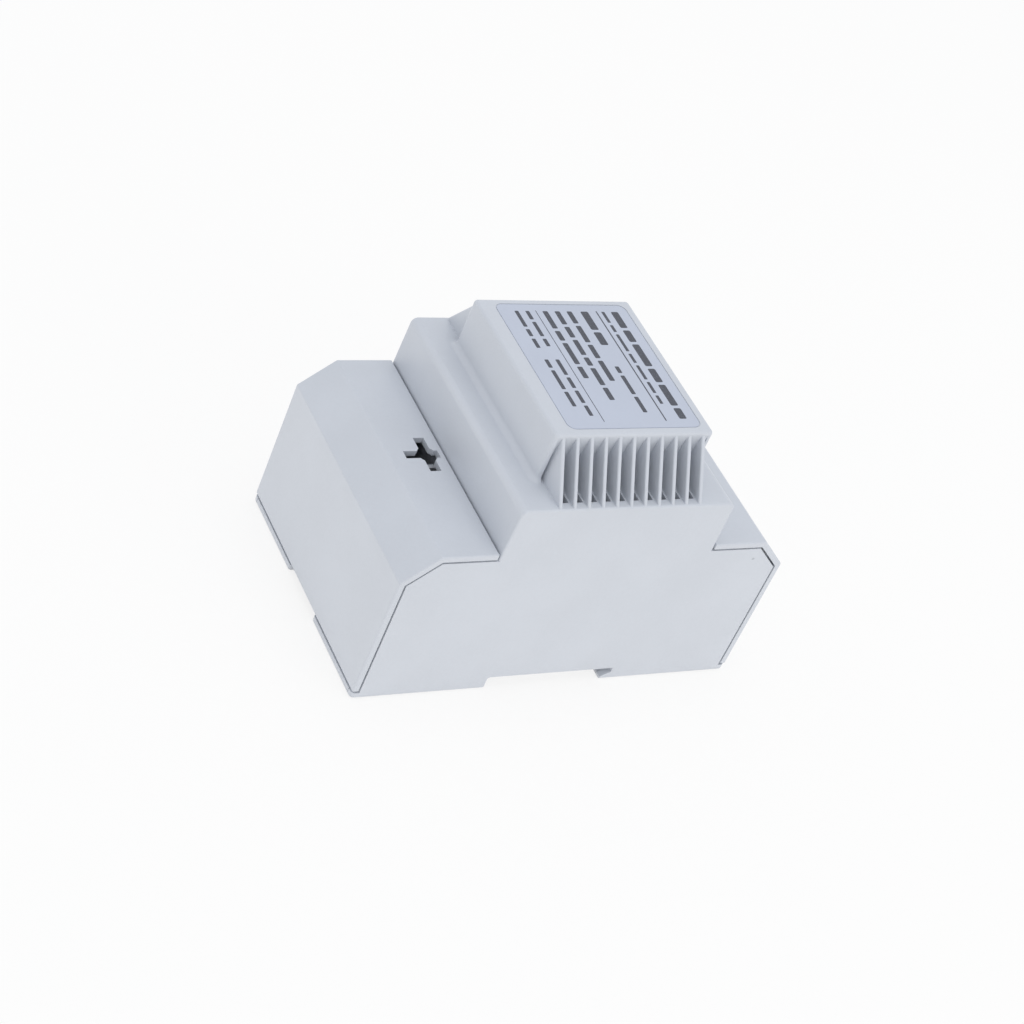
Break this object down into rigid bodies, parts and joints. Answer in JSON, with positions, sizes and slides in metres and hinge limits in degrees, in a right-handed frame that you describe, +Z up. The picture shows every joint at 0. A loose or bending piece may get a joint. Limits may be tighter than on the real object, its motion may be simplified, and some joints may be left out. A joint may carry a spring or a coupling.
{
  "type": "mains transformer",
  "caption": "Rail-mounted mains transformer in a stepped grey moulded case with finned nose, lift-off terminal covers, clamp terminals and a sprung rail latch.",
  "frame": {"origin": "on the surface the feet stand on, under the middle of the case", "axes": "+X along the mounting rail, +Y across the rail towards the fixed hook and the low-voltage side, +Z up from the feet to the label"},
  "size_m": [0.07, 0.11, 0.0754],
  "materials": {
    "case_plastic": "fine spark-eroded moulding, pale cool grey",
    "cover_plastic": "fine spark-eroded moulding, pale cool grey",
    "base_plastic": "fine spark-eroded moulding, pale cool grey",
    "latch_plastic": "satin black nylon",
    "terminal_plastic": "satin mid grey nylon",
    "bobbin_plastic": "glass-filled nylon, black",
    "label_foil": "silvered polyester film, satin",
    "wrap_tape": "yellow polyester winding tape",
    "lamination_steel": "varnished silicon steel edges",
    "enamelled_copper": "enamelled copper wire",
    "plated_steel": "bright zinc plating",
    "spring_steel": "bare spring strip",
    "tinned_brass": "tinned brass",
    "brown_lead": "extruded insulation",
    "blue_lead": "extruded insulation",
    "black_lead": "extruded insulation"
  },
  "bodies": {
    "case": {"housing": "case_plastic", "base": "base_plastic", "latch_spring": "spring_steel", "rating_label": "label_foil", "base_screws": "plated_steel", "e_laminations": "lamination_steel", "i_laminations": "lamination_steel", "bobbin": "bobbin_plastic", "bobbin_pins": "tinned_brass", "primary_winding": "enamelled_copper", "secondary_winding": "enamelled_copper", "primary_wrap": "wrap_tape", "secondary_wrap": "wrap_tape", "primary_live_terminal": "terminal_plastic", "primary_live_contact_bar": "tinned_brass", "primary_neutral_terminal": "terminal_plastic", "primary_neutral_contact_bar": "tinned_brass", "secondary_a_terminal": "terminal_plastic", "secondary_a_contact_bar": "tinned_brass", "secondary_b_terminal": "terminal_plastic", "secondary_b_contact_bar": "tinned_brass", "primary_live_lead": "brown_lead", "primary_neutral_lead": "blue_lead", "secondary_a_lead": "black_lead", "secondary_b_lead": "black_lead"},
    "latch": {"rail_latch": "latch_plastic"},
    "primary_cover": {"primary_terminal_cover": "cover_plastic"},
    "secondary_cover": {"secondary_terminal_cover": "cover_plastic"},
    "primary_live_clamp_screw": {"primary_live_screw": "plated_steel"},
    "primary_live_clamp_cage": {"primary_live_cage": "plated_steel"},
    "primary_neutral_clamp_screw": {"primary_neutral_screw": "plated_steel"},
    "primary_neutral_clamp_cage": {"primary_neutral_cage": "plated_steel"},
    "secondary_a_clamp_screw": {"secondary_a_screw": "plated_steel"},
    "secondary_a_clamp_cage": {"secondary_a_cage": "plated_steel"},
    "secondary_b_clamp_screw": {"secondary_b_screw": "plated_steel"},
    "secondary_b_clamp_cage": {"secondary_b_cage": "plated_steel"}
  },
  "joints": [
    {"name": "latch_slide", "type": "slide", "parent": "case", "child": "latch", "axis": [0, -1, 0], "range_m": [0, 0.004], "stiffness_N_per_m": 600, "springref_m": -0.003, "deforming": ["latch_spring"]},
    {"name": "primary_cover_lift", "type": "slide", "parent": "case", "child": "primary_cover", "axis": [0, 0, 1], "range_m": [0, 0.06]},
    {"name": "secondary_cover_lift", "type": "slide", "parent": "case", "child": "secondary_cover", "axis": [0, 0, 1], "range_m": [0, 0.06]},
    {"name": "primary_live_screw_turn", "type": "hinge", "parent": "case", "child": "primary_live_clamp_screw", "pos_m": [-0.01795, -0.0426, 0.0365], "axis": [0, 0, -1], "range_deg": [0, 2521]},
    {"name": "primary_live_cage_rise", "type": "slide", "parent": "case", "child": "primary_live_clamp_cage", "axis": [0, 0, 1], "range_m": [0, 0.0035]},
    {"name": "primary_neutral_screw_turn", "type": "hinge", "parent": "case", "child": "primary_neutral_clamp_screw", "pos_m": [0.01795, -0.0426, 0.0365], "axis": [0, 0, -1], "range_deg": [0, 2521]},
    {"name": "primary_neutral_cage_rise", "type": "slide", "parent": "case", "child": "primary_neutral_clamp_cage", "axis": [0, 0, 1], "range_m": [0, 0.0035]},
    {"name": "secondary_a_screw_turn", "type": "hinge", "parent": "case", "child": "secondary_a_clamp_screw", "pos_m": [-0.01795, 0.0426, 0.0365], "axis": [0, 0, -1], "range_deg": [0, 2521]},
    {"name": "secondary_a_cage_rise", "type": "slide", "parent": "case", "child": "secondary_a_clamp_cage", "axis": [0, 0, 1], "range_m": [0, 0.0035]},
    {"name": "secondary_b_screw_turn", "type": "hinge", "parent": "case", "child": "secondary_b_clamp_screw", "pos_m": [0.01795, 0.0426, 0.0365], "axis": [0, 0, -1], "range_deg": [0, 2521]},
    {"name": "secondary_b_cage_rise", "type": "slide", "parent": "case", "child": "secondary_b_clamp_cage", "axis": [0, 0, 1], "range_m": [0, 0.0035]}
  ],
  "couplings": [
    {"joint": "primary_live_screw_turn", "follows": "primary_live_cage_rise", "rad_per_m": 12566},
    {"joint": "primary_neutral_screw_turn", "follows": "primary_neutral_cage_rise", "rad_per_m": 12566},
    {"joint": "secondary_a_screw_turn", "follows": "secondary_a_cage_rise", "rad_per_m": 12566},
    {"joint": "secondary_b_screw_turn", "follows": "secondary_b_cage_rise", "rad_per_m": 12566}
  ]
}
